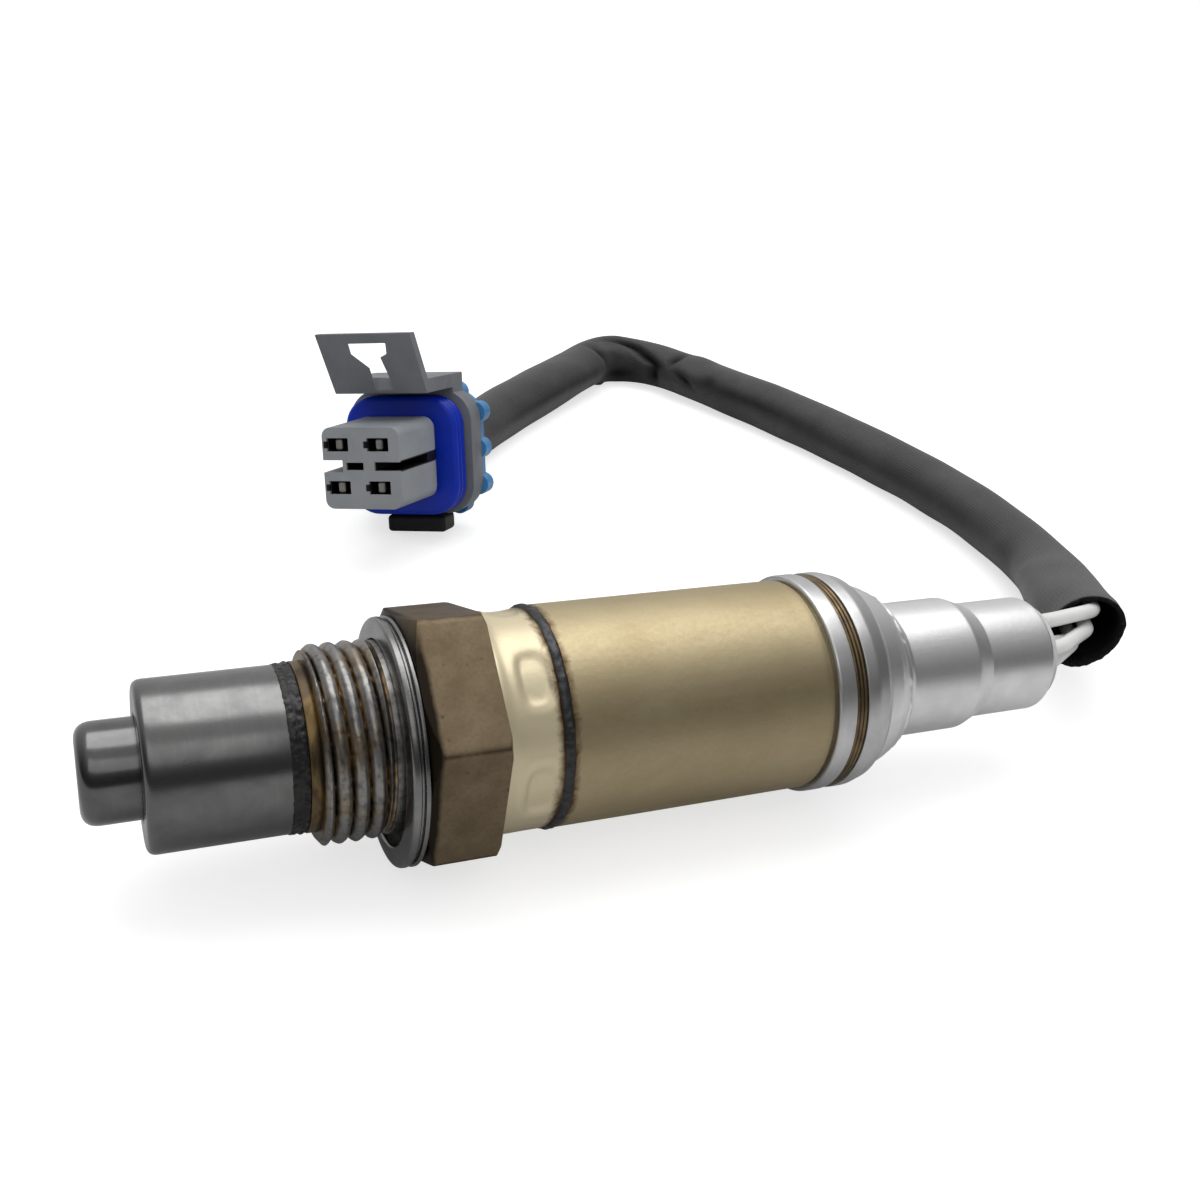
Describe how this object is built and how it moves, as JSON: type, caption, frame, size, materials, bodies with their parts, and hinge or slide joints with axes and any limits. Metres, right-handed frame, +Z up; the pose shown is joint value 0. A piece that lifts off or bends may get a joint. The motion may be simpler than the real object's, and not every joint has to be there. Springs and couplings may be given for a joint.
{
  "type": "oxygen sensor",
  "caption": "Exhaust oxygen sensor with threaded hexagonal shell, shielded tip, metal housing, and a sleeved lead ending in a sealed square connector.",
  "frame": {"origin": "on the sensor's axis, at the seat face of the hexagon where the gasket is clamped", "axes": "+X along the sensor's axis from the tip towards the lead, +Z up from the surface it lies on, +Y towards the loop of the lead"},
  "size_m": [0.1379, 0.1553, 0.0328],
  "materials": {
    "tube_steel": "dark satin steel",
    "nose_steel": "dark polished steel",
    "weld": "dark heat-tinted weld bead",
    "shell_plated": "bronze-tinted plated steel, satin",
    "gasket_steel": "bright folded sheet steel",
    "sleeve_plated": "pale brass-coloured satin plating with a fine grain",
    "ring_steel": "satin steel",
    "vent_band": "brown fine-lined band",
    "cap_steel": "bright satin steel",
    "grommet_rubber": "pale grey matte rubber",
    "wire_skin": "white smooth insulation",
    "lead_sleeve": "dark grey coated braid, matte",
    "connector_plastic": "grey moulded plastic",
    "lock_plastic": "dark grey moulded plastic",
    "seal_rubber": "deep blue silicone rubber",
    "rear_seal_rubber": "light blue silicone rubber",
    "contact_metal": "plated contact metal",
    "zirconia": "off-white fired ceramic",
    "ceramic_white": "white fired ceramic",
    "heater_ceramic": "pale grey fired ceramic",
    "talc": "pressed mineral powder",
    "clamp_steel": "plain steel"
  },
  "bodies": {
    "root": {"inner_protection_tube": "nose_steel", "outer_protection_tube": "tube_steel", "front_weld_seam": "weld", "hex_shell": "shell_plated", "gasket_ring": "gasket_steel", "sensing_element": "zirconia", "heater_rod": "heater_ceramic", "seal_packing": "talc", "support_bush": "ceramic_white", "clamp_ring": "clamp_steel", "housing_sleeve": "sleeve_plated", "rear_weld_seam": "weld", "retaining_ring": "ring_steel", "vent_band": "vent_band", "rear_cap": "cap_steel", "ceramic_sleeve": "ceramic_white", "contact_bushing": "ceramic_white", "bushing_spring": "clamp_steel", "signal_terminal": "contact_metal", "ground_terminal": "contact_metal", "heater_terminal_1": "contact_metal", "heater_terminal_2": "contact_metal", "grommet": "grommet_rubber", "connector_block": "connector_plastic", "connector_seal": "seal_rubber", "connector_housing": "connector_plastic", "lock_block": "lock_plastic", "rear_seal": "rear_seal_rubber", "lead_sleeve": "lead_sleeve", "plug_terminal_1": "contact_metal", "wire_1": "wire_skin", "tail_wire_1": "wire_skin", "plug_terminal_2": "contact_metal", "wire_2": "wire_skin", "tail_wire_2": "wire_skin", "plug_terminal_3": "contact_metal", "wire_3": "wire_skin", "tail_wire_3": "wire_skin", "plug_terminal_4": "contact_metal", "wire_4": "wire_skin", "tail_wire_4": "wire_skin"}
  },
  "joints": []
}
